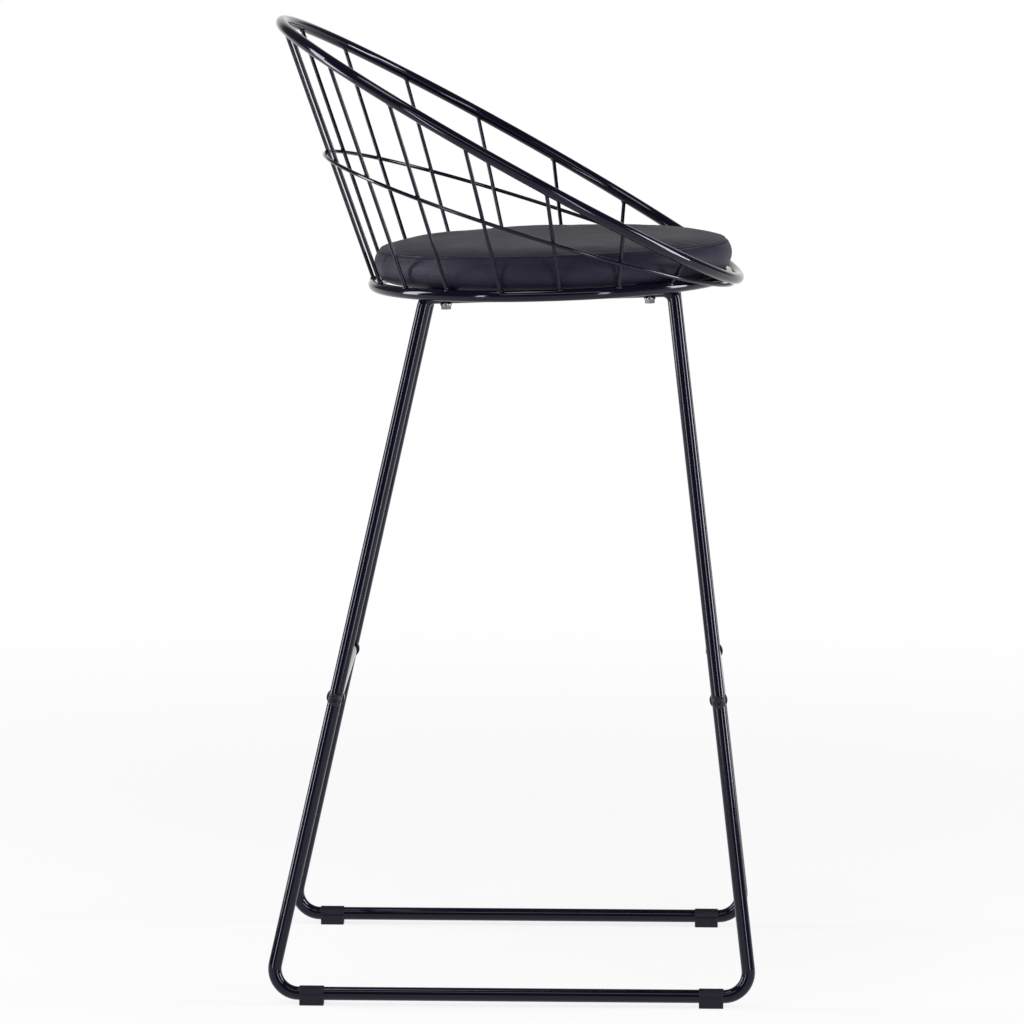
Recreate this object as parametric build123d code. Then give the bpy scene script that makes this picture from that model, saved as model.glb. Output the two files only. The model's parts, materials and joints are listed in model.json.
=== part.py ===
from build123d import *
from math import atan2, cos, degrees, hypot, radians, sin, sqrt, tan
import os

# Bar stool with a wire basket back, in millimetres.
# +Z is up, the sitter faces -Y, and +X is the sitter's left.
# The origin is on the floor, under the middle of the sled base.

# Sled base: two closed loops of round tube
FRAME_TUBE_R = 7.0
BASE_LENGTH = 500.0
RUNNER_X = 198.0
RUNNER_Z = 11.0
TOP_BAR_X = 118.5
BEND_R = 25.0
TOP_BEND_R = 12.0
REAR_LEG_LEAN = 12.5
FRONT_LEG_LEAN = 6.7

# Seat ring, tilted so that the front edge is higher
RING_R = 184.3
RING_TUBE_R = 6.0
RING_Y = -34.4
RING_Z = 730.5
SEAT_TILT = 2.0

# Back rail and middle hoop: flat ovals, given by their rear and front points on the centre plane
RAIL_TUBE_R = 6.0
RAIL_REAR = (245.5, 996.7)
RAIL_FRONT = (-230.1, 733.5)
RAIL_HALF_WIDTH = 242.0
HOOP_WIRE_R = 2.0
HOOP_REAR = (201.4, 860.3)
HOOP_FRONT = (-224.65, 727.55)
HOOP_HALF_WIDTH = 216.45

# Back wires, spaced evenly round the ring and round the rail from the rear
WIRE_R = 2.0
WIRES_PER_SIDE = 7
RING_STEP = 18.8
RING_INSET = 1.0
RAIL_STEP = 19.97

# Seat straps welded inside the ring, and the screws that hold the leg frames to the seat
STRAP_FRONT = -102.9
STRAP_REAR = 105.6
STRAP_WIDTH = 26.0
STRAP_THICK = 3.0
STRAP_TOP = 5.5
SCREW_R = 3.0
SCREW_HOLE_R = 3.3
SCREW_REACH = 25.0
HEX_FLATS = 10.0
HEX_HEIGHT = 4.0
WASHER_R = 6.0
WASHER_THICK = 1.6
WASHER_PLAY = 0.05

# Seat pad: plywood board, foam and sewn cover
BOARD_R = 172.0
BOARD_THICK = 12.0
BOARD_EDGE_R = 2.0
COVER_THICK = 1.2
COVER_LIP = 22.0
PAD_OFFSET = -3.4
PAD_SIDE_R = 186.1
PAD_SEAM_R = 180.0
PAD_SEAM_HEIGHT = 31.3
PAD_SHOULDER_R = 158.0
PAD_SHOULDER_HEIGHT = 36.4
PAD_CROWN_HEIGHT = 39.1
PAD_BASE_R = 176.0
TEE_NUT_FLANGE_R = 9.5
TEE_NUT_FLANGE = 1.4
TEE_NUT_BARREL_R = 4.2

# Footrest bars, bolted between the legs
BAR_R = 7.0
BAR_WALL = 1.2
BAR_Z = 312.5
BAR_NOTCH = 4.0
INSERT_LENGTH = 24.0
COLLAR_R = 9.3
COLLAR_LENGTH = 4.5
COLLAR_NOTCH = 1.5
COLLAR_EDGE_R = 0.8
BOLT_HEAD_R = 7.0
BOLT_HEAD = 4.0
BOLT_DOME_R = 3.2
BOLT_SOCKET_FLATS = 4.0
BOLT_SOCKET_DEPTH = 2.2
BOLT_REACH = 34.0

# Clip-on glides under the runners
GLIDE_Y = 205.0
GLIDE_LENGTH = 25.0
GLIDE_WIDTH = 17.6
GLIDE_WALL = 1.1
GLIDE_CORNER_R = 1.6
GLIDE_SPLIT = 1.6
GLIDE_PLAY = 0.05

# Derived values
REAR_OVERHANG = RAIL_REAR[0] + RAIL_TUBE_R - BASE_LENGTH / 2
LEAN = atan2(RUNNER_X - TOP_BAR_X, RING_Z - RUNNER_Z)
TILT = radians(SEAT_TILT)
STRAP_BOTTOM = STRAP_TOP - STRAP_THICK
TOP_BAR_DROP = FRAME_TUBE_R - STRAP_BOTTOM
TOP_BAR_UNDERSIDE = -TOP_BAR_DROP - FRAME_TUBE_R
SEAT_PLANE = Plane((0, RING_Y, RING_Z), x_dir=(1, 0, 0), z_dir=(0, sin(TILT), cos(TILT)))
SIDES = {"left": 1, "right": -1}
UP = (Align.CENTER, Align.CENTER, Align.MIN)


def tube(path, radius):
    """Round bar of the given radius along a path."""
    return sweep(Plane(path @ 0, z_dir=path % 0) * Circle(radius), path=path)


def frame_x(z):
    """Distance of a leg frame from the centre plane at height z."""
    return RUNNER_X - (z - RUNNER_Z) * tan(LEAN)


def top_bar_z(y):
    """Height of a top bar's axis, which runs parallel to the seat under the straps."""
    return RING_Z - (y - RING_Y) * tan(TILT) - TOP_BAR_DROP / cos(TILT)


def runner_corner(lean_angle):
    """Where a leg's axis meets the runner's axis, so that the bend ends at the base's length."""
    inner = radians(90 - lean_angle)
    return BASE_LENGTH / 2 - FRAME_TUBE_R - BEND_R + BEND_R / tan(inner / 2)


def leg_top(corner_y, slope):
    """Where a leg's axis meets the top bar's axis."""
    rise = top_bar_z(corner_y) - RUNNER_Z
    return corner_y + slope * rise / (1 + slope * tan(TILT))


def leg_y(z, rear):
    """Y of a leg's axis at height z."""
    if rear:
        return REAR_CORNER - (z - RUNNER_Z) * tan(radians(REAR_LEG_LEAN))
    return -FRONT_CORNER + (z - RUNNER_Z) * tan(radians(FRONT_LEG_LEAN))


REAR_CORNER = runner_corner(REAR_LEG_LEAN)
FRONT_CORNER = runner_corner(FRONT_LEG_LEAN)
REAR_TOP = leg_top(REAR_CORNER, -tan(radians(REAR_LEG_LEAN)))
FRONT_TOP = leg_top(-FRONT_CORNER, tan(radians(FRONT_LEG_LEAN)))


def screw_places():
    """X and Y, in the seat's plane, of the four screws through the top bars."""
    places = []
    for y in (STRAP_FRONT, STRAP_REAR):
        x = frame_x(top_bar_z(RING_Y + y * cos(TILT)))
        places += [(x, y), (-x, y)]
    return places


def seat_rod(x, y, low, high, radius):
    """Upright cylinder on the seat's plane, between two heights."""
    return SEAT_PLANE * Pos(x, y, low) * Cylinder(radius, high - low, align=UP)


def cross_rod(x0, x1, y, z, radius):
    """Cylinder across the stool, between two X values."""
    return Pos((x0 + x1) / 2, y, z) * Rot(0, 90, 0) * Cylinder(radius, abs(x1 - x0))


def leg_frame(side):
    """One sled loop: runner, two legs and a top bar, in one leaning plane."""
    corners = []
    for y, z in (
        (-FRONT_CORNER, RUNNER_Z),
        (REAR_CORNER, RUNNER_Z),
        (REAR_TOP, top_bar_z(REAR_TOP)),
        (FRONT_TOP, top_bar_z(FRONT_TOP)),
    ):
        corners.append((y, (z - RUNNER_Z) / cos(LEAN)))
    plane = Plane((side * RUNNER_X, 0, RUNNER_Z), x_dir=(0, 1, 0), z_dir=(cos(LEAN), 0, side * sin(LEAN)))
    path = plane * FilletPolyline(*corners, radius=[BEND_R, BEND_R, TOP_BEND_R, TOP_BEND_R], close=True)
    frame = tube(path, FRAME_TUBE_R)
    for x, y in screw_places():
        if x * side > 0:
            frame -= seat_rod(x, y, TOP_BAR_UNDERSIDE - 2, STRAP_TOP, SCREW_HOLE_R)
    for rear in (False, True):
        x = side * frame_x(BAR_Z)
        reach = 2 * FRAME_TUBE_R
        frame -= cross_rod(x - reach, x + reach, leg_y(BAR_Z, rear), BAR_Z, SCREW_HOLE_R)
    return frame


def oval_loop(rear, front, half_width, radius):
    """Flat closed loop of four tangent arcs, in a plane through its rear and front points."""
    length = hypot(rear[0] - front[0], rear[1] - front[1]) / 2
    shift = (length - half_width) / (2 - sqrt(2))
    end_r = length - shift
    side_r = half_width + shift
    slope = atan2(rear[1] - front[1], rear[0] - front[0])
    centre = (0, (rear[0] + front[0]) / 2, (rear[1] + front[1]) / 2)
    plane = Plane(centre, x_dir=(0, cos(slope), sin(slope)), z_dir=(0, -sin(slope), cos(slope)))
    arcs = [
        CenterArc((shift, 0), end_r, -45, 90),
        CenterArc((0, -shift), side_r, 45, 90),
        CenterArc((-shift, 0), end_r, 135, 90),
        CenterArc((0, shift), side_r, 225, 90),
    ]
    return tube(plane * Wire(arcs), radius)


def ring_point(angle):
    """Point where a wire's axis meets the seat ring's plane, at an angle from the rear."""
    radius = RING_R - RING_INSET
    return SEAT_PLANE.from_local_coords(Vector(radius * sin(angle), radius * cos(angle), 0))


def rail_point(angle):
    """Point near the back rail's axis, at an angle from the rear."""
    along = (1 + cos(angle)) / 2
    y = RAIL_FRONT[0] + along * (RAIL_REAR[0] - RAIL_FRONT[0])
    z = RAIL_FRONT[1] + along * (RAIL_REAR[1] - RAIL_FRONT[1])
    return Vector(RAIL_HALF_WIDTH * sin(angle), y, z)


def back_wire(step, ring, rail):
    """Straight wire from the top of the ring to the underside of the rail, shaped to both."""
    foot = ring_point(radians(RING_STEP * step))
    head = rail_point(radians(RAIL_STEP * step))
    span = head - foot
    rod = Plane(foot, z_dir=span) * Cylinder(WIRE_R, span.length, align=UP)
    pieces = (rod - ring - rail).solids()
    return max(pieces, key=lambda piece: piece.volume)


def seat_strap(y, ring):
    """Flat bar across the ring, welded to its inner side, with a hole over each top bar."""
    bar = Pos(0, y, STRAP_BOTTOM + STRAP_THICK / 2) * Box(2 * RING_R, STRAP_WIDTH, STRAP_THICK)
    weld_r = RING_R - sqrt(RING_TUBE_R**2 - STRAP_TOP**2)
    strap = SEAT_PLANE * (bar & Cylinder(weld_r, 4 * RING_TUBE_R)) - ring
    for hole_x, hole_y in screw_places():
        if hole_y * y > 0:
            strap -= seat_rod(hole_x, hole_y, STRAP_BOTTOM - 1, STRAP_TOP + 1, SCREW_HOLE_R)
    return strap


def pad_profile(inset):
    """Half section of the seat pad: flat base, drawn-in sides, seam edge, round shoulder and crown."""
    drop = PAD_CROWN_HEIGHT - PAD_SHOULDER_HEIGHT
    crown_r = (PAD_SHOULDER_R**2 + drop**2) / (2 * drop)
    middle = PAD_SHOULDER_R / 2
    base = (PAD_BASE_R - inset, inset - COVER_THICK)
    side = (PAD_SIDE_R - inset, PAD_SEAM_HEIGHT / 2)
    seam = (PAD_SEAM_R - inset, PAD_SEAM_HEIGHT)
    shoulder = (PAD_SHOULDER_R, PAD_SHOULDER_HEIGHT - inset)
    crown = (middle, PAD_CROWN_HEIGHT - inset - crown_r + sqrt(crown_r**2 - middle**2))
    top = (0, PAD_CROWN_HEIGHT - inset)
    slope = (crown_r - drop, -PAD_SHOULDER_R)
    outline = [
        Line((0, base[1]), base),
        ThreePointArc(base, side, seam),
        TangentArc(shoulder, seam, tangent=slope),
        ThreePointArc(shoulder, crown, top),
        Line(top, (0, base[1])),
    ]
    return make_face(outline)


def pad_body(inset):
    """Turned body of the seat pad, standing on the board's underside."""
    return Pos(0, PAD_OFFSET) * revolve(Plane.XZ * pad_profile(inset), Axis.Z)


def board_blank(radius, thick):
    """Round plywood board with eased edges."""
    board = Cylinder(radius, thick, align=UP)
    return Pos(0, PAD_OFFSET) * fillet(board.edges().filter_by(GeomType.CIRCLE), BOARD_EDGE_R)


def tee_nut(x, y):
    """Flanged nut pressed into the board from above."""
    barrel = Pos(x, y) * Cylinder(TEE_NUT_BARREL_R, BOARD_THICK, align=UP)
    flange = Pos(x, y, BOARD_THICK) * Cylinder(
        TEE_NUT_FLANGE_R, TEE_NUT_FLANGE, align=UP
    )
    bore = Pos(x, y) * Cylinder(SCREW_R, 4 * BOARD_THICK)
    return barrel + flange - bore


def seat_screw(x, y):
    """Hex-head screw that goes up through a top bar and a strap into the board."""
    head_top = TOP_BAR_UNDERSIDE - WASHER_PLAY - WASHER_THICK
    head = Pos(x, y, head_top - HEX_HEIGHT) * extrude(
        RegularPolygon(HEX_FLATS / 2, 6, major_radius=False), HEX_HEIGHT
    )
    shank = Pos(x, y, head_top) * Cylinder(SCREW_R, SCREW_REACH, align=UP)
    return SEAT_PLANE * (head + shank)


def seat_washer(x, y):
    """Flat washer between a screw head and the underside of a top bar."""
    low = TOP_BAR_UNDERSIDE - WASHER_PLAY - WASHER_THICK
    disc = seat_rod(x, y, low, low + WASHER_THICK, WASHER_R)
    return disc - seat_rod(x, y, low - 1, low + 3, SCREW_HOLE_R)


def footrest_bar(rear, frames):
    """Tube between the legs, with a collar at each end, shaped to the legs."""
    leg_side = frame_x(BAR_Z) - FRAME_TUBE_R
    reach = leg_side + BAR_NOTCH
    y = leg_y(BAR_Z, rear)
    bar = cross_rod(-reach, reach, y, BAR_Z, BAR_R)
    for side in SIDES.values():
        inner = side * (leg_side - COLLAR_LENGTH)
        outer = side * (leg_side + COLLAR_NOTCH)
        collar = cross_rod(inner, outer, y, BAR_Z, COLLAR_R)
        bar += fillet(collar.edges().filter_by(GeomType.CIRCLE), COLLAR_EDGE_R)
    bar -= cross_rod(-reach, reach, y, BAR_Z, BAR_R - BAR_WALL)
    for frame in frames:
        bar -= frame
    return bar


def footrest_insert(side, rear, frame):
    """Threaded plug in one end of a footrest bar."""
    outer = side * (frame_x(BAR_Z) - FRAME_TUBE_R)
    y = leg_y(BAR_Z, rear)
    plug = cross_rod(outer, outer - side * INSERT_LENGTH, y, BAR_Z, BAR_R - BAR_WALL)
    plug -= cross_rod(outer + side, outer - side * (INSERT_LENGTH + 1), y, BAR_Z, SCREW_R)
    return plug - frame


def footrest_bolt(side, rear):
    """Button-head socket bolt through a leg into a footrest bar."""
    seat_x = side * (frame_x(BAR_Z) + FRAME_TUBE_R / cos(LEAN) + BOLT_HEAD_R * tan(LEAN))
    tip = abs(seat_x) - BOLT_REACH
    head = Cylinder(BOLT_HEAD_R, BOLT_HEAD, align=UP)
    head = fillet(head.edges().group_by(Axis.Z)[-1], BOLT_DOME_R)
    socket = RegularPolygon(BOLT_SOCKET_FLATS / 2, 6, major_radius=False)
    head -= Pos(0, 0, BOLT_HEAD - BOLT_SOCKET_DEPTH) * extrude(socket, BOLT_SOCKET_DEPTH)
    y = leg_y(BAR_Z, rear)
    placed = Plane((seat_x, y, BAR_Z), x_dir=(0, 1, 0), z_dir=(side, 0, 0)) * head
    return placed + cross_rod(seat_x, side * tip, y, BAR_Z, SCREW_R)


def foot_glide(side, y):
    """Plastic glide: a sleeve round the runner with a flat foot below and a snap split inside."""
    x = side * RUNNER_X
    sleeve = Rot(90, 0, 0) * Cylinder(FRAME_TUBE_R + GLIDE_WALL, GLIDE_LENGTH)
    foot = Pos(0, 0, -RUNNER_Z) * Box(
        GLIDE_WIDTH, GLIDE_LENGTH, RUNNER_Z, align=UP
    )
    foot = fillet(foot.edges().filter_by(Axis.Z), GLIDE_CORNER_R)
    bore = Rot(90, 0, 0) * Cylinder(FRAME_TUBE_R + GLIDE_PLAY, 2 * GLIDE_LENGTH)
    split = Pos(-side * FRAME_TUBE_R, 0, 0) * Box(2 * GLIDE_WALL + 6, 2 * GLIDE_LENGTH, GLIDE_SPLIT)
    return Pos(x, y, RUNNER_Z) * (sleeve + foot - bore - split)


def build():
    """All the stool's pieces, by node name."""
    parts = {}
    frames = {name: leg_frame(side) for name, side in SIDES.items()}
    for name, side in SIDES.items():
        parts[f"leg_frame_{name}"] = frames[name]
        for end, y in (("front", -GLIDE_Y), ("rear", GLIDE_Y)):
            parts[f"foot_glide_{end}_{name}"] = foot_glide(side, y)

    inserts = []
    bolts = []
    for end, rear in (("front", False), ("rear", True)):
        parts[f"footrest_bar_{end}"] = footrest_bar(rear, frames.values())
        for name, side in SIDES.items():
            inserts.append(footrest_insert(side, rear, frames[name]))
            bolts.append(footrest_bolt(side, rear))
    parts["footrest_inserts"] = Compound(inserts)
    parts["footrest_bolts"] = Compound(bolts)

    ring = SEAT_PLANE * Torus(RING_R, RING_TUBE_R)
    rail = oval_loop(RAIL_REAR, RAIL_FRONT, RAIL_HALF_WIDTH, RAIL_TUBE_R)
    parts["seat_ring"] = ring
    parts["back_rail"] = rail
    parts["middle_hoop"] = oval_loop(HOOP_REAR, HOOP_FRONT, HOOP_HALF_WIDTH, HOOP_WIRE_R)
    parts["back_wire_centre"] = back_wire(0, ring, rail)
    for step in range(1, WIRES_PER_SIDE + 1):
        for name, side in SIDES.items():
            parts[f"back_wire_{name}_{step}"] = back_wire(side * step, ring, rail)

    strap_boxes = []
    for end, y in (("front", STRAP_FRONT), ("rear", STRAP_REAR)):
        parts[f"seat_strap_{end}"] = seat_strap(y, ring)
        strap_boxes.append(Pos(0, y, -STRAP_THICK / 2) * Box(2 * RING_R, STRAP_WIDTH + 2, STRAP_THICK))

    nuts = [tee_nut(x, y) for x, y in screw_places()]
    board = board_blank(BOARD_R, BOARD_THICK)
    for nut, (x, y) in zip(nuts, screw_places()):
        board -= Pos(x, y) * Cylinder(TEE_NUT_BARREL_R, 4 * BOARD_THICK)
    foam = pad_body(COVER_THICK) - board_blank(BOARD_R, BOARD_THICK)
    cover = pad_body(0) - pad_body(COVER_THICK)
    cover -= Pos(0, PAD_OFFSET) * Cylinder(BOARD_R - COVER_LIP, 4 * COVER_THICK)
    for box in strap_boxes:
        cover -= box
    for nut in nuts:
        foam -= nut
    board_plane = SEAT_PLANE.offset(STRAP_TOP)
    parts["seat_board"] = board_plane * board
    parts["seat_foam"] = board_plane * foam
    parts["seat_cover"] = board_plane * cover
    parts["tee_nuts"] = board_plane * Compound(nuts)
    parts["seat_screws"] = Compound([seat_screw(x, y) for x, y in screw_places()])
    parts["seat_washers"] = Compound([seat_washer(x, y) for x, y in screw_places()])
    return parts


os.makedirs("parts", exist_ok=True)
for node, shape in build().items():
    export_step(Pos(0, -REAR_OVERHANG / 2) * shape, f"parts/{node}.step")
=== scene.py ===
import json
import math

import bpy
import numpy as np
from mathutils import Matrix, Vector
from mathutils.kdtree import KDTree


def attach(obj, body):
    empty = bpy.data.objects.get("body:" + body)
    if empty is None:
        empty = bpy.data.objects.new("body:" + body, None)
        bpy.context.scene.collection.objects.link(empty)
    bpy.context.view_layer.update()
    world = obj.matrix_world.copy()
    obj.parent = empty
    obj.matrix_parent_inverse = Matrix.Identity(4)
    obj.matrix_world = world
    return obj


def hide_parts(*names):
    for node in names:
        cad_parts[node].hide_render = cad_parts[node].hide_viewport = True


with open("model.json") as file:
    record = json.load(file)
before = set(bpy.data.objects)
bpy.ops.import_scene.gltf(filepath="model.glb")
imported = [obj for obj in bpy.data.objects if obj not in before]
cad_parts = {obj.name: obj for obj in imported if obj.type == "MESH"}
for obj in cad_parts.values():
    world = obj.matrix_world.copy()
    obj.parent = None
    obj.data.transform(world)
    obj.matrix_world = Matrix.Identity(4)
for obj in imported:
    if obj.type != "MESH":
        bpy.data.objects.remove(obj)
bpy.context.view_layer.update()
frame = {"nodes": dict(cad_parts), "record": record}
nodes = frame["nodes"]
scene = bpy.context.scene

# Seat's plane, in metres: the ring's centre and the plane's three directions
SEAT_ORIGIN = np.array((0.0, -0.03515, 0.7305))
SEAT_TILT = math.radians(2.0)
SEAT_X = np.array((1.0, 0.0, 0.0))
SEAT_Y = np.array((0.0, math.cos(SEAT_TILT), -math.sin(SEAT_TILT)))
SEAT_UP = np.array((0.0, math.sin(SEAT_TILT), math.cos(SEAT_TILT)))
RING_R = 0.1843
BOARD_LIFT = 0.0055
STRAP_YS = (-0.1029, 0.1056)
STRAP_HALF = 0.013

# Back wires, rail and hoop, in metres
WIRES_PER_SIDE = 7
RING_STEP = math.radians(18.8)
RING_INSET = 0.001
RAIL_STEP = math.radians(19.97)
RAIL_REAR = np.array((0.24475, 0.9967))
RAIL_FRONT = np.array((-0.23085, 0.7335))
RAIL_HALF_WIDTH = 0.242
HOOP_REAR = np.array((0.20065, 0.8603))
HOOP_FRONT = np.array((-0.2254, 0.72755))
HOOP_HALF_WIDTH = 0.21645


def seat_points(local):
    """Points on the seat's plane, with heights above the board's underside, in the row frame."""
    local = np.asarray(local, float).reshape(-1, 3)
    height = local[:, 2:3] + BOARD_LIFT
    return SEAT_ORIGIN + local[:, 0:1] * SEAT_X + local[:, 1:2] * SEAT_Y + height * SEAT_UP


# Materials


def new_material(name):
    """An empty node material with a principled shader."""
    material = bpy.data.materials.new(name)
    material.use_nodes = True
    tree = material.node_tree
    return material, tree, tree.nodes["Principled BSDF"]


def texture(tree, kind, scale, coordinates, **settings):
    """A procedural texture on the object's own coordinates."""
    node = tree.nodes.new(kind)
    node.inputs["Scale"].default_value = scale
    for key, value in settings.items():
        node.inputs[key].default_value = value
    tree.links.new(coordinates, node.inputs["Vector"])
    return node


def object_coordinates(tree):
    """The object's own coordinates, in metres."""
    return tree.nodes.new("ShaderNodeTexCoord").outputs["Object"]


def ramp(tree, source, low, high, start=0.0, end=1.0):
    """Maps a value between start and end onto a range."""
    node = tree.nodes.new("ShaderNodeMapRange")
    node.inputs["From Min"].default_value = start
    node.inputs["From Max"].default_value = end
    node.inputs["To Min"].default_value = low
    node.inputs["To Max"].default_value = high
    tree.links.new(source, node.inputs["Value"])
    return node.outputs["Result"]


def colour_mix(tree, factor, first, second):
    """Mixes two colours by a value."""
    node = tree.nodes.new("ShaderNodeMix")
    node.data_type = "RGBA"
    node.inputs["A"].default_value = (*first, 1)
    node.inputs["B"].default_value = (*second, 1)
    tree.links.new(factor, node.inputs["Factor"])
    return node.outputs["Result"]


def bump(tree, height, strength, distance, normal=None):
    """Small relief from a height."""
    node = tree.nodes.new("ShaderNodeBump")
    node.inputs["Strength"].default_value = strength
    node.inputs["Distance"].default_value = distance
    tree.links.new(height, node.inputs["Height"])
    if normal is not None:
        tree.links.new(normal, node.inputs["Normal"])
    return node.outputs["Normal"]


def black_coat():
    """Glossy black powder coat with a faint orange peel."""
    material, tree, shader = new_material("black_powder_coat")
    place = object_coordinates(tree)
    cloud = texture(tree, "ShaderNodeTexNoise", 18, place, Detail=3)
    peel = texture(tree, "ShaderNodeTexNoise", 700, place, Detail=2)
    speck = texture(tree, "ShaderNodeTexNoise", 60, place, Detail=4)
    colour = colour_mix(tree, cloud.outputs["Fac"], (0.0022, 0.0020, 0.0074), (0.0038, 0.0035, 0.0110))
    tree.links.new(colour, shader.inputs["Base Color"])
    tree.links.new(ramp(tree, speck.outputs["Fac"], 0.06, 0.11), shader.inputs["Roughness"])
    tree.links.new(bump(tree, peel.outputs["Fac"], 0.003, 0.0003), shader.inputs["Normal"])
    shader.inputs["Specular IOR Level"].default_value = 0.31
    shader.inputs["Specular Tint"].default_value = (0.84, 0.85, 1, 1)
    return material


def satin_bolt():
    """Blackened steel of the socket bolts."""
    material, tree, shader = new_material("black_oxide_steel")
    place = object_coordinates(tree)
    grain = texture(tree, "ShaderNodeTexNoise", 420, place, Detail=4)
    cloud = texture(tree, "ShaderNodeTexNoise", 90, place, Detail=2)
    colour = colour_mix(tree, cloud.outputs["Fac"], (0.009, 0.009, 0.014), (0.022, 0.022, 0.030))
    tree.links.new(colour, shader.inputs["Base Color"])
    tree.links.new(ramp(tree, grain.outputs["Fac"], 0.25, 0.45), shader.inputs["Roughness"])
    tree.links.new(bump(tree, grain.outputs["Fac"], 0.12, 0.0003), shader.inputs["Normal"])
    shader.inputs["Metallic"].default_value = 0.55
    return material


def zinc_steel():
    """Bright zinc-plated steel of the seat screws and washers."""
    material, tree, shader = new_material("zinc_plated_steel")
    place = object_coordinates(tree)
    spangle = texture(tree, "ShaderNodeTexVoronoi", 900, place)
    cloud = texture(tree, "ShaderNodeTexNoise", 160, place, Detail=3)
    colour = colour_mix(tree, cloud.outputs["Fac"], (0.10, 0.10, 0.11), (0.24, 0.24, 0.25))
    tree.links.new(colour, shader.inputs["Base Color"])
    tree.links.new(ramp(tree, spangle.outputs["Distance"], 0.22, 0.40), shader.inputs["Roughness"])
    tree.links.new(bump(tree, cloud.outputs["Fac"], 0.08, 0.0003), shader.inputs["Normal"])
    shader.inputs["Metallic"].default_value = 1.0
    return material


def glide_plastic():
    """Matt black moulded plastic with a fine spark-eroded texture."""
    material, tree, shader = new_material("moulded_black_plastic")
    place = object_coordinates(tree)
    texture_noise = texture(tree, "ShaderNodeTexNoise", 1500, place, Detail=2)
    cloud = texture(tree, "ShaderNodeTexNoise", 60, place, Detail=3)
    colour = colour_mix(tree, cloud.outputs["Fac"], (0.0080, 0.0072, 0.0130), (0.0110, 0.0100, 0.0180))
    tree.links.new(colour, shader.inputs["Base Color"])
    tree.links.new(ramp(tree, texture_noise.outputs["Fac"], 0.5, 0.7), shader.inputs["Roughness"])
    tree.links.new(bump(tree, texture_noise.outputs["Fac"], 0.25, 0.0003), shader.inputs["Normal"])
    shader.inputs["Specular IOR Level"].default_value = 0.25
    shader.inputs["Specular Tint"].default_value = (0.90, 0.88, 1, 1)
    return material


def seat_leather():
    """Smooth imitation leather: fine pebble grain, faint stretch marks and uneven sheen."""
    material, tree, shader = new_material("imitation_leather")
    place = object_coordinates(tree)
    pebble = texture(tree, "ShaderNodeTexVoronoi", 620, place, Randomness=0.9)
    fine = texture(tree, "ShaderNodeTexNoise", 1900, place, Detail=3)
    patch = texture(tree, "ShaderNodeTexNoise", 26, place, Detail=4)
    colour = colour_mix(tree, patch.outputs["Fac"], (0.0069, 0.0062, 0.0150), (0.0116, 0.0105, 0.0250))
    tree.links.new(colour, shader.inputs["Base Color"])
    tree.links.new(ramp(tree, patch.outputs["Fac"], 0.48, 0.62), shader.inputs["Roughness"])
    coarse = bump(tree, pebble.outputs["Distance"], 0.55, 0.0004)
    relief = bump(tree, fine.outputs["Fac"], 0.16, 0.0002, coarse)
    tree.links.new(relief, shader.inputs["Normal"])
    shader.inputs["Specular IOR Level"].default_value = 0.23
    shader.inputs["Specular Tint"].default_value = (0.88, 0.86, 1, 1)
    return material


def plywood():
    """Raw birch plywood under the seat."""
    material, tree, shader = new_material("birch_plywood")
    place = object_coordinates(tree)
    stretch = tree.nodes.new("ShaderNodeMapping")
    stretch.inputs["Scale"].default_value = (1.0, 14.0, 14.0)
    tree.links.new(place, stretch.inputs["Vector"])
    grain = texture(tree, "ShaderNodeTexNoise", 18, stretch.outputs["Vector"], Detail=6, Distortion=0.6)
    pores = texture(tree, "ShaderNodeTexNoise", 160, stretch.outputs["Vector"], Detail=2)
    colour = colour_mix(tree, grain.outputs["Fac"], (0.42, 0.27, 0.14), (0.66, 0.48, 0.29))
    tree.links.new(colour, shader.inputs["Base Color"])
    tree.links.new(ramp(tree, pores.outputs["Fac"], 0.62, 0.82), shader.inputs["Roughness"])
    tree.links.new(bump(tree, pores.outputs["Fac"], 0.2, 0.0003), shader.inputs["Normal"])
    return material


coat = black_coat()
leather = seat_leather()
by_slot = {
    "black_frame": coat,
    "black_bolt": satin_bolt(),
    "bright_steel": zinc_steel(),
    "glide_plastic": glide_plastic(),
    "seat_plywood": plywood(),
    "seat_leather": leather,
    "seat_foam": leather,
}
for part in frame["record"]["subparts"]:
    node = nodes[part["node"]]
    node.data.materials.clear()
    node.data.materials.append(by_slot[part["material_slot"]])
    for polygon in node.data.polygons:
        polygon.use_smooth = True


# Meshes


def add_mesh(name, points, faces, material, smooth=True):
    """A new mesh piece in the row frame."""
    mesh = bpy.data.meshes.new(name)
    mesh.from_pydata([tuple(p) for p in points], [], faces)
    mesh.update()
    mesh.materials.append(material)
    for polygon in mesh.polygons:
        polygon.use_smooth = smooth
    piece = bpy.data.objects.new(name, mesh)
    scene.collection.objects.link(piece)
    return piece


def turned_faces(rows, around):
    """Faces of a turned shape: a point, rows of points, and a point."""
    faces = []
    last = 1 + rows * around
    for i in range(around):
        j = (i + 1) % around
        faces.append((0, 1 + i, 1 + j))
        for row in range(rows - 1):
            a = 1 + row * around
            faces.append((a + i, a + around + i, a + around + j, a + j))
        a = 1 + (rows - 1) * around
        faces.append((a + i, last, a + j))
    return faces


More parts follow.
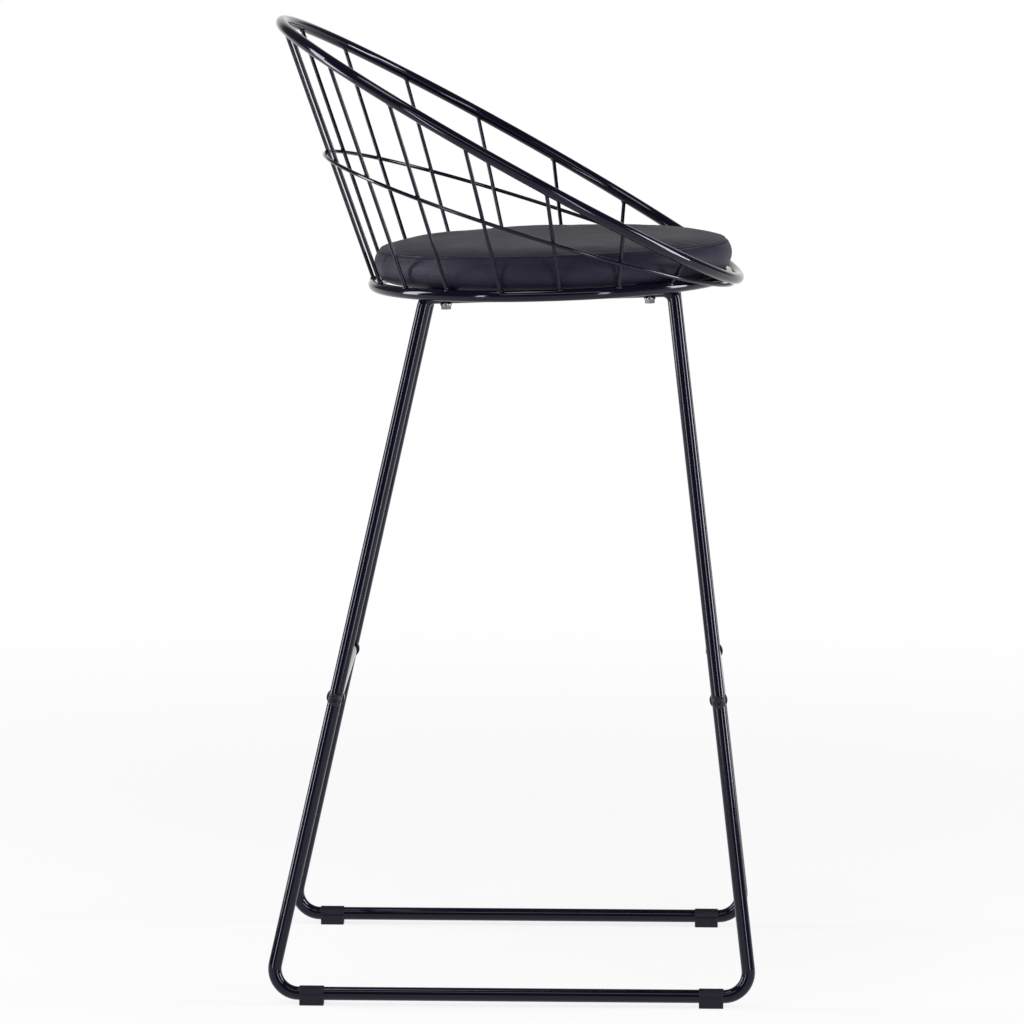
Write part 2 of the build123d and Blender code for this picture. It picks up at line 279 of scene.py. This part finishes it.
# Seat cushion. Lengths of its section are in metres, heights are above the board's underside.
PAD_OFFSET = -0.0034
PAD_BASE = np.array((0.1760, -0.0012))
PAD_SIDE = np.array((0.1861, 0.01565))
PAD_SEAM = np.array((0.1800, 0.0313))
PAD_SHOULDER = np.array((0.1580, 0.0364))
PAD_CROWN_HEIGHT = 0.0391
LIP_INNER_R = 0.150
POCKET_R = 0.1722
POCKET_TOP = 0.0136
COVER_THICK = 0.0012
LIP_EDGE_INSET = 0.0008
LIP_GAP = 0.00004
STRAP_CLEARANCE = 0.0005
LIP_RAMP = 0.003
POCKET_GAP = 0.00002
POCKET_FOOT = 0.0006
POCKET_ROUND = 0.002
ROOF_R = 0.09
AROUND = 480

# Swell of the cushion by cloth pressure
SIM_AROUND = 96
SIM_ROW_STEP = 12
SIM_VOXEL = 0.005
SIM_FRAMES = 20
SIM_CAP = 0.0035
PIN_HEIGHT = 0.0035
PIN_SEAM_REACH = 0.0045
NEAREST_COUNT = 10
NEAREST_SOFTENING = 4e-6
CROWN_SWELL = 0.0035
SHOULDER_DRAW = 0.0008
DRAW_ABOVE_SEAM = 0.018
DRAW_REACH = 0.011

# Seam, puckers and slack of the cover: heights and lengths along the section
SEAM_DROP = 0.0018
SEAM_RISE = 0.0050
SEAM_SLIDE_REACH = 0.020
CREASE_DEPTH = 0.0018
CREASE_REACH = 0.0010
WELT_HEIGHT = 0.0004
WELT_FROM_SEAM = 0.0026
WELT_REACH = 0.0016
PUCKER_HEIGHT = 0.00045
PUCKER_FADE = 0.007
SLACK_HEIGHT = 0.0007
SLACK_BELOW_SEAM = 0.013
SLACK_REACH = 0.009
CROWN_WAVE = 0.0009
CROWN_ABOVE_SEAM = 0.05
CROWN_REACH = 0.03


def bell(offset, reach):
    """1 at no offset, and soon 0 past the reach."""
    return np.exp(-((offset / reach) ** 2))


def circle_through(a, b, c):
    """Centre and radius of the circle through three points."""
    lhs = 2 * np.array((b - a, c - a))
    rhs = np.array((b @ b - a @ a, c @ c - a @ a))
    centre = np.linalg.solve(lhs, rhs)
    return centre, np.linalg.norm(a - centre)


def arc_points(centre, start, end, steps):
    """Points along the shorter arc from start to end."""
    first = math.atan2(*(start - centre)[::-1])
    last = math.atan2(*(end - centre)[::-1])
    turn = (last - first + math.pi) % (2 * math.pi) - math.pi
    angles = first + turn * np.linspace(0, 1, steps)
    radius = np.linalg.norm(start - centre)
    return centre + radius * np.stack((np.cos(angles), np.sin(angles)), 1)


def pad_section():
    """Closely spaced points of the cushion's outer section, from the crown to the base."""
    drop = PAD_CROWN_HEIGHT - PAD_SHOULDER[1]
    crown_r = (PAD_SHOULDER[0] ** 2 + drop**2) / (2 * drop)
    crown_centre = np.array((0.0, PAD_CROWN_HEIGHT - crown_r))
    crown = arc_points(crown_centre, np.array((0.0, PAD_CROWN_HEIGHT)), PAD_SHOULDER, 400)
    normal = (PAD_SHOULDER - crown_centre) / crown_r
    chord = PAD_SHOULDER - PAD_SEAM
    shoulder_centre = PAD_SHOULDER - normal * (chord @ chord) / (2 * chord @ normal)
    shoulder = arc_points(shoulder_centre, PAD_SHOULDER, PAD_SEAM, 200)
    side_centre, _ = circle_through(PAD_SEAM, PAD_SIDE, PAD_BASE)
    side = np.vstack((
        arc_points(side_centre, PAD_SEAM, PAD_SIDE, 100),
        arc_points(side_centre, PAD_SIDE, PAD_BASE, 100)[1:],
    ))
    return np.vstack((crown, shoulder[1:], side[1:])), len(crown) + len(shoulder) - 2


SECTION, SEAM_INDEX = pad_section()
SECTION_LENGTH = np.concatenate(((0,), np.cumsum(np.linalg.norm(np.diff(SECTION, axis=0), axis=1))))
SEAM_AT = SECTION_LENGTH[SEAM_INDEX]


def section_at(length):
    """Section point and outward normal at a length along it."""
    point = np.stack([np.interp(length, SECTION_LENGTH, SECTION[:, k]) for k in (0, 1)], -1)
    step = 0.0004
    ahead = np.stack([np.interp(length + step, SECTION_LENGTH, SECTION[:, k]) for k in (0, 1)], -1)
    behind = np.stack([np.interp(length - step, SECTION_LENGTH, SECTION[:, k]) for k in (0, 1)], -1)
    along = ahead - behind
    along /= np.linalg.norm(along, axis=-1, keepdims=True)
    return point, np.stack((-along[..., 1], along[..., 0]), -1)


def row_lengths():
    """Lengths along the section where the cushion's mesh has rows, closest beside the seam."""
    near = np.array((0.0, 0.4, 0.8, 1.2, 1.7, 2.3, 3.0, 4.0, 5.2, 6.6)) / 1000
    edge = near[-1] + 0.002
    top = np.linspace(0.006, SEAM_AT - edge, 46)
    side = np.linspace(SEAM_AT + edge, SECTION_LENGTH[-1], 12)
    return np.concatenate((top, SEAM_AT - near[:0:-1], SEAM_AT + near, side))


def around_axis(section, angles, shift):
    """Section pairs of radius and height, one for each row and angle, turned about the seat's axis."""
    x = section[..., 0] * np.sin(angles)
    y = section[..., 0] * np.cos(angles) + shift
    return np.stack((x, y, section[..., 1]), -1).reshape(-1, 3)


def spin(radii, heights, around):
    """Points of plain rows turned about the seat's axis."""
    rows = np.repeat(np.stack((radii, heights), -1)[:, None], around, 1)
    return around_axis(rows, 2 * math.pi * np.arange(around) / around, PAD_OFFSET)


def unswollen(lengths, radius):
    """How far inside its section the pad starts, so that its crown and shoulder come out on it."""
    crown = CROWN_SWELL * np.clip(1 - (radius / PAD_SHOULDER[0]) ** 2, 0, 1)
    return crown - SHOULDER_DRAW * bell(lengths - SEAM_AT + DRAW_ABOVE_SEAM, DRAW_REACH)


def swell(start_section):
    """Cloth pressure on a remeshed copy of the pad: where its points were, and how far they move."""
    rows = start_section[::SIM_ROW_STEP][1:]
    points = spin(rows[:, 0], rows[:, 1], SIM_AROUND)
    top = np.array([[0, PAD_OFFSET, start_section[0, 1]]])
    low = np.array([[0, PAD_OFFSET, start_section[-1, 1]]])
    shape = seat_points(np.vstack((top, points, low)))
    pad = add_mesh("swell_copy", shape, turned_faces(len(rows), SIM_AROUND), leather)
    remesh = pad.modifiers.new("remesh", "REMESH")
    remesh.mode = "VOXEL"
    remesh.voxel_size = SIM_VOXEL
    graph = bpy.context.evaluated_depsgraph_get()
    mesh = bpy.data.meshes.new_from_object(pad.evaluated_get(graph))
    pad.modifiers.clear()
    pad.data = mesh
    rest = np.array([v.co for v in mesh.vertices])
    local = rest - SEAT_ORIGIN
    height = local @ SEAT_UP - BOARD_LIFT
    radius = np.hypot(local @ SEAT_X, local @ SEAT_Y - PAD_OFFSET)
    seam_gap = np.hypot(radius - PAD_SEAM[0], height - PAD_SEAM[1])
    pins = pad.vertex_groups.new(name="pins")
    for i in np.nonzero((height < PIN_HEIGHT) | (seam_gap < PIN_SEAM_REACH))[0]:
        pins.add([int(i)], 1.0, "REPLACE")
    cloth = pad.modifiers.new("cloth", "CLOTH")
    cloth.settings.vertex_group_mass = "pins"
    cloth.settings.quality = 6
    cloth.settings.mass = 0.25
    cloth.settings.tension_stiffness = 18
    cloth.settings.compression_stiffness = 18
    cloth.settings.shear_stiffness = 6
    cloth.settings.bending_stiffness = 1.5
    cloth.settings.use_pressure = True
    cloth.settings.uniform_pressure_force = 4
    cloth.settings.effector_weights.gravity = 0
    cloth.collision_settings.use_collision = False
    cloth.point_cache.frame_start = 1
    cloth.point_cache.frame_end = SIM_FRAMES
    for step in range(1, SIM_FRAMES + 1):
        scene.frame_set(step)
    graph = bpy.context.evaluated_depsgraph_get()
    settled = pad.evaluated_get(graph).to_mesh()
    moved = np.array([v.co for v in settled.vertices]) - rest
    pad.evaluated_get(graph).to_mesh_clear()
    scene.frame_set(1)
    bpy.data.objects.remove(pad)
    size = np.maximum(np.linalg.norm(moved, axis=1, keepdims=True), 1e-9)
    return rest, moved * np.tanh(size / SIM_CAP) * SIM_CAP / size


def spread(rest, moved, points):
    """The moves at other points, averaged from the nearest simulated ones."""
    tree = KDTree(len(rest))
    for i, p in enumerate(rest):
        tree.insert(p, i)
    tree.balance()
    out = np.zeros_like(points)
    for i, p in enumerate(points):
        found = tree.find_n(p, NEAREST_COUNT)
        weight = np.array([1 / (d * d + NEAREST_SOFTENING) for _, _, d in found])
        out[i] = weight @ moved[[k for _, k, _ in found]] / weight.sum()
    return out


def waves(rng, angles, low, high, count):
    """Uneven ripple round the cushion, about 1 at its largest."""
    turns = rng.integers(low, high, count)
    phase = rng.uniform(0, 2 * math.pi, count)
    size = rng.uniform(0.4, 1.0, count)
    total = (size[:, None] * np.cos(np.outer(turns, angles) + phase[:, None])).sum(0)
    return total / np.abs(total).max()


def make_cushion():
    """The cushion: crown, shoulder, drawn-in seam with puckers, side band, and the lip under the board."""
    rng = np.random.default_rng(11)
    lengths = row_lengths()
    angles = 2 * math.pi * np.arange(AROUND) / AROUND
    gap = (lengths - SEAM_AT)[:, None]
    slide = SEAM_DROP - SEAM_RISE * np.sin(angles) ** 2
    places = lengths[:, None] + slide * bell(gap, SEAM_SLIDE_REACH)
    point, normal = section_at(places)
    start, facing = section_at(SECTION_LENGTH)
    rest, moved = swell(start - facing * unswollen(SECTION_LENGTH, start[:, 0])[:, None])
    flatter = point - normal * unswollen(places, point[..., 0])[..., None]
    outer = seat_points(around_axis(flatter, angles, PAD_OFFSET))
    outer = outer + spread(rest, moved, outer)
    outward = around_axis(normal, angles, 0)
    outward = outward[:, 0:1] * SEAT_X + outward[:, 1:2] * SEAT_Y + outward[:, 2:3] * SEAT_UP

    welt = WELT_HEIGHT * bell(np.abs(gap) - WELT_FROM_SEAM, WELT_REACH)
    crease = welt - CREASE_DEPTH * bell(gap, CREASE_REACH)
    fade = np.exp(-np.abs(gap) / PUCKER_FADE)
    pucker = waves(rng, angles, 60, 150, 14) * (0.55 + 0.45 * waves(rng, angles, 2, 9, 5))
    slack = waves(rng, angles, 5, 22, 8) * bell(gap - SLACK_BELOW_SEAM, SLACK_REACH)
    soft = waves(rng, angles, 3, 11, 6) * bell(gap + CROWN_ABOVE_SEAM, CROWN_REACH)
    relief = crease + PUCKER_HEIGHT * fade * pucker + SLACK_HEIGHT * slack + CROWN_WAVE * soft
    outer = outer + outward * relief.reshape(-1, 1)

    lip_r = np.linspace(PAD_BASE[0] - LIP_EDGE_INSET, LIP_INNER_R, 8)
    lip_y = np.outer(lip_r, np.cos(angles)) + PAD_OFFSET
    across = np.min([np.abs(lip_y - y) for y in STRAP_YS], 0)
    free = np.clip((across - STRAP_HALF - STRAP_CLEARANCE) / LIP_RAMP, 0, 1)
    lip = spin(lip_r, np.zeros(len(lip_r)), AROUND)
    lip[:, 2] = (-LIP_GAP - (COVER_THICK - LIP_GAP) * free).ravel()
    pocket = np.array((
        (LIP_INNER_R, -POCKET_GAP),
        (POCKET_R - POCKET_ROUND, -POCKET_GAP),
        (POCKET_R, POCKET_FOOT),
        (POCKET_R, POCKET_TOP - POCKET_ROUND),
        (POCKET_R - POCKET_ROUND, POCKET_TOP),
        (ROOF_R, POCKET_TOP),
    ))
    under = seat_points(np.vstack((lip, spin(pocket[:, 0], pocket[:, 1], AROUND))))

    centre = int(np.argmin(lengths))
    top = outer[centre * AROUND:(centre + 1) * AROUND].mean(0, keepdims=True)
    roof = seat_points([[0, PAD_OFFSET, POCKET_TOP]])
    points = np.vstack((top, outer, under, roof))
    rows = len(lengths) + len(lip_r) + len(pocket)
    return add_mesh("seat_cushion", points, turned_faces(rows, AROUND), leather)


cushion = make_cushion()
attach(cushion, "root")
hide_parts("seat_cover", "seat_foam")


# Weld beads of the basket: half sizes along, across and out, in metres
FOOT_BEAD = np.array((0.0022, 0.0035, 0.0033))
HEAD_BEAD = np.array((0.0018, 0.0030, 0.0028))
CROSSING_BEAD = (0.0024, 0.0014, 0.0024)
RING_FRONT_BEAD = (0.013, 0.0016, 0.0030)
RAIL_FRONT_BEAD = (0.010, 0.0016, 0.0030)
STRAP_BEAD = (0.013, 0.0018, 0.0020)
BEAD_SETBACK = 0.0058
STRAP_BEAD_INSET = 0.0052
STRAP_BEAD_LIFT = 0.0022
LUMP_SIZE = 0.06
LUMP_COUNT = 4


def unit(vector):
    """The vector at length 1."""
    return vector / np.linalg.norm(vector)


def bead_shape(rng, centre, along, across, sizes):
    """Points and faces of one lumpy bead, with its three half sizes along, across and out."""
    rows, around = 6, 12
    out = unit(np.cross(along, across))
    polar = math.pi * np.arange(1, rows + 1) / (rows + 1)
    turn = 2 * math.pi * np.arange(around) / around
    ball = [(0.0, 0.0, 1.0)]
    for p in polar:
        ball += [(math.sin(p) * math.cos(t), math.sin(p) * math.sin(t), math.cos(p)) for t in turn]
    ball = np.array(ball + [(0.0, 0.0, -1.0)])
    lump = np.ones(len(ball))
    for _ in range(LUMP_COUNT):
        lump += LUMP_SIZE * np.cos(ball @ rng.normal(0, 3.0, 3) + rng.uniform(0, 2 * math.pi))
    shape = ball * lump[:, None] * np.array(sizes)
    return centre + shape @ np.array((along, across, out)), turned_faces(rows, around)


def ring_place(angle, radius, height=0.0):
    """A point by its angle from the rear, its distance from the ring's centre and its height."""
    flat = radius * (math.sin(angle) * SEAT_X + math.cos(angle) * SEAT_Y)
    return SEAT_ORIGIN + flat + height * SEAT_UP


def loop_place(rear, front, half_width, angle):
    """A point near a flat loop's axis, by its angle from the rear."""
    y, z = front + (1 + math.cos(angle)) / 2 * (rear - front)
    return np.array((half_width * math.sin(angle), y, z))


def oval_points(rear, front, half_width, count):
    """Points along a flat loop of four tangent arcs."""
    length = np.linalg.norm(rear - front) / 2
    shift = (length - half_width) / (2 - math.sqrt(2))
    slope = unit(rear - front)
    middle = (rear + front) / 2
    points = []
    for x, y, radius, start in (
        (shift, 0, length - shift, -45),
        (0, -shift, half_width + shift, 45),
        (-shift, 0, length - shift, 135),
        (0, shift, half_width + shift, 225),
    ):
        for angle in np.radians(start + 90 * np.arange(count) / count):
            flat = middle + (x + radius * math.cos(angle)) * slope
            points.append((y + radius * math.sin(angle), *flat))
    return np.array(points)


def make_welds():
    """Beads at both ends of every wire, where wires cross the hoop, at the front and at the straps."""
    rng = np.random.default_rng(5)
    hoop = oval_points(HOOP_REAR, HOOP_FRONT, HOOP_HALF_WIDTH, 400)
    beads = []
    for step in range(-WIRES_PER_SIDE, WIRES_PER_SIDE + 1):
        foot = ring_place(step * RING_STEP, RING_R - RING_INSET)
        head = loop_place(RAIL_REAR, RAIL_FRONT, RAIL_HALF_WIDTH, step * RAIL_STEP)
        along = unit(head - foot)
        across = unit(np.cross(along, SEAT_UP))
        size = rng.uniform(0.9, 1.15, 2)
        beads.append((foot + BEAD_SETBACK * along, along, across, FOOT_BEAD * size[0]))
        beads.append((head - BEAD_SETBACK * along, along, across, HEAD_BEAD * size[1]))
        reach = np.clip((hoop - foot) @ along, 0, np.linalg.norm(head - foot))
        gaps = np.linalg.norm(hoop - foot - reach[:, None] * along, axis=1)
        nearest = int(np.argmin(gaps))
        on_wire = foot + reach[nearest] * along
        out = unit(hoop[nearest] - on_wire)
        across = unit(np.cross(along, out))
        beads.append(((hoop[nearest] + on_wire) / 2, across, out, CROSSING_BEAD))
    ring_front = ring_place(math.pi, RING_R)
    rail_front = np.array((0, *RAIL_FRONT))
    hoop_front = np.array((0, *HOOP_FRONT))
    for first, second, sizes in (
        (ring_front, rail_front, RING_FRONT_BEAD),
        (rail_front, hoop_front, RAIL_FRONT_BEAD),
    ):
        beads.append(((first + second) / 2, SEAT_X, unit(second - first), sizes))
    for y in STRAP_YS:
        for side in (-1, 1):
            angle = side * math.acos(y / RING_R)
            centre = ring_place(angle, RING_R - STRAP_BEAD_INSET, STRAP_BEAD_LIFT)
            along = math.cos(angle) * SEAT_X - math.sin(angle) * SEAT_Y
            beads.append((centre, along, SEAT_UP, STRAP_BEAD))
    points = []
    faces = []
    for bead in beads:
        shape, cells = bead_shape(rng, *bead)
        start = sum(len(p) for p in points)
        points.append(shape)
        faces += [tuple(start + i for i in cell) for cell in cells]
    return add_mesh("weld_beads", np.vstack(points), faces, coat)


welds = make_welds()
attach(welds, "root")


# Stage: a plain pale floor, soft light and the camera, in metres, watts and degrees
FLOOR_HALF = 45.0
FLOOR_SHOWN_NEAR = 0.82
FLOOR_NEAR = 0.3
FLOOR_FAR = 2.6
WORLD_LIGHT = 0.11
BACKDROP_EDGE = 0.80
BACKDROP_FULL = 0.92
CAMERA_PLACE = (-5.78435, -0.12183, 1.28167)
CAMERA_TURNS = (1.25, 7.85, 0.18)
CAMERA_LENS = 195.54
SEAT_TARGET = (0, 0, 0.75)


def maths(tree, operation, first, second):
    """One step of arithmetic on two values."""
    node = tree.nodes.new("ShaderNodeMath")
    node.operation = operation
    for socket, value in zip(node.inputs, (first, second)):
        if isinstance(value, float):
            socket.default_value = value
        else:
            tree.links.new(value, socket)
    return node.outputs["Value"]


def seen_directly(tree, in_mirrors=None):
    """1 for camera rays, and for glossy and transmission rays, which may be kept to some directions."""
    path = tree.nodes.new("ShaderNodeLightPath").outputs
    mirrored = maths(tree, "MAXIMUM", path["Is Glossy Ray"], path["Is Transmission Ray"])
    if in_mirrors is not None:
        mirrored = maths(tree, "MULTIPLY", mirrored, in_mirrors)
    return maths(tree, "MAXIMUM", path["Is Camera Ray"], mirrored)


def make_floor():
    """A wide pale floor that shows near white and keeps the stool's soft shadow."""
    material = bpy.data.materials.new("pale_floor")
    material.use_nodes = True
    tree = material.node_tree
    tree.nodes.clear()
    out = tree.nodes.new("ShaderNodeOutputMaterial")
    diffuse = tree.nodes.new("ShaderNodeBsdfDiffuse")
    diffuse.inputs["Color"].default_value = (0.86, 0.86, 0.86, 1)
    glow = tree.nodes.new("ShaderNodeEmission")
    glow.inputs["Color"].default_value = (1, 1, 1, 1)
    reach = tree.nodes.new("ShaderNodeVectorMath")
    reach.operation = "LENGTH"
    tree.links.new(object_coordinates(tree), reach.inputs[0])
    shown = ramp(tree, reach.outputs["Value"], FLOOR_SHOWN_NEAR, 1.0, FLOOR_NEAR, FLOOR_FAR)
    shown.node.interpolation_type = "SMOOTHSTEP"
    share = maths(tree, "MULTIPLY", seen_directly(tree), shown)
    mix = tree.nodes.new("ShaderNodeMixShader")
    tree.links.new(share, mix.inputs["Fac"])
    tree.links.new(diffuse.outputs["BSDF"], mix.inputs[1])
    tree.links.new(glow.outputs["Emission"], mix.inputs[2])
    tree.links.new(mix.outputs["Shader"], out.inputs["Surface"])
    corners = [(x * FLOOR_HALF, y * FLOOR_HALF, 0) for x, y in ((-1, -1), (1, -1), (1, 1), (-1, 1))]
    floor = add_mesh("floor", corners, [(0, 1, 2, 3)], material, smooth=False)


def make_world():
    """Even studio surroundings: a white backdrop behind the stool, softer as light."""
    world = bpy.data.worlds.new("studio")
    scene.world = world
    world.use_nodes = True
    tree = world.node_tree
    tree.nodes.clear()
    out = tree.nodes.new("ShaderNodeOutputWorld")
    light = tree.nodes.new("ShaderNodeBackground")
    light.inputs["Color"].default_value = (1, 1, 1, 1)
    light.inputs["Strength"].default_value = WORLD_LIGHT
    shown = tree.nodes.new("ShaderNodeBackground")
    shown.inputs["Color"].default_value = (1, 1, 1, 1)
    shown.inputs["Strength"].default_value = 1.0
    ahead = tree.nodes.new("ShaderNodeSeparateXYZ")
    tree.links.new(tree.nodes.new("ShaderNodeTexCoord").outputs["Generated"], ahead.inputs["Vector"])
    backdrop = ramp(tree, ahead.outputs["X"], 0.0, 1.0, BACKDROP_EDGE, BACKDROP_FULL)
    mix = tree.nodes.new("ShaderNodeMixShader")
    tree.links.new(seen_directly(tree, backdrop), mix.inputs["Fac"])
    tree.links.new(light.outputs["Background"], mix.inputs[1])
    tree.links.new(shown.outputs["Background"], mix.inputs[2])
    tree.links.new(mix.outputs["Shader"], out.inputs["Surface"])


def soft_box(name, place, target, width, height, power):
    """A rectangular studio lamp that points at a target."""
    data = bpy.data.lights.new(name, "AREA")
    data.shape = "RECTANGLE"
    data.size = width
    data.size_y = height
    data.energy = power
    lamp = bpy.data.objects.new(name, data)
    scene.collection.objects.link(lamp)
    lamp.location = place
    lamp.rotation_euler = (Vector(target) - Vector(place)).to_track_quat("-Z", "Y").to_euler()
    lamp.visible_camera = False


def strip(name, turn, distance, width, low, high, power):
    """An upright lamp between two heights, at an angle from the camera's side towards the rear."""
    angle = math.radians(turn)
    middle = (low + high) / 2
    place = (-distance * math.cos(angle), distance * math.sin(angle), middle)
    soft_box(name, place, (0, 0, middle), width, high - low, power)


def make_camera():
    """Camera at the photograph's angle, looking along +X from the sitter's right."""
    yaw, pitch, roll = (math.radians(turn) for turn in CAMERA_TURNS)
    ahead = Vector((math.cos(pitch) * math.cos(yaw), math.cos(pitch) * math.sin(yaw), -math.sin(pitch)))
    right = ahead.cross(Vector((0, 0, 1))).normalized()
    up = right.cross(ahead)
    turned_right = math.cos(roll) * right + math.sin(roll) * up
    turned_up = -math.sin(roll) * right + math.cos(roll) * up
    data = bpy.data.cameras.new("camera")
    data.sensor_fit = "HORIZONTAL"
    data.sensor_width = 36
    data.lens = CAMERA_LENS
    data.clip_end = 200
    camera = bpy.data.objects.new("camera", data)
    scene.collection.objects.link(camera)
    matrix = Matrix((turned_right, turned_up, -ahead)).transposed().to_4x4()
    matrix.translation = Vector(CAMERA_PLACE)
    camera.matrix_world = matrix
    scene.camera = camera


make_floor()
make_world()
strip("rear_lamp", turn=95, distance=2.4, width=0.58, low=0.3, high=2.3, power=53)
strip("left_lamp", turn=42, distance=2.6, width=0.24, low=0.05, high=1.5, power=19)
strip("right_lamp", turn=-34, distance=2.6, width=0.28, low=0.05, high=1.5, power=19)
strip("front_lamp", turn=-86, distance=2.4, width=0.55, low=0.3, high=1.8, power=54)
soft_box("side_lamp", (-2.1, 0.0, 2.4), SEAT_TARGET, width=2.8, height=0.45, power=14)
soft_box("top_lamp", (-0.4, 0.5, 2.9), SEAT_TARGET, width=0.6, height=1.0, power=11)
make_camera()

scene.view_settings.view_transform = "Standard"
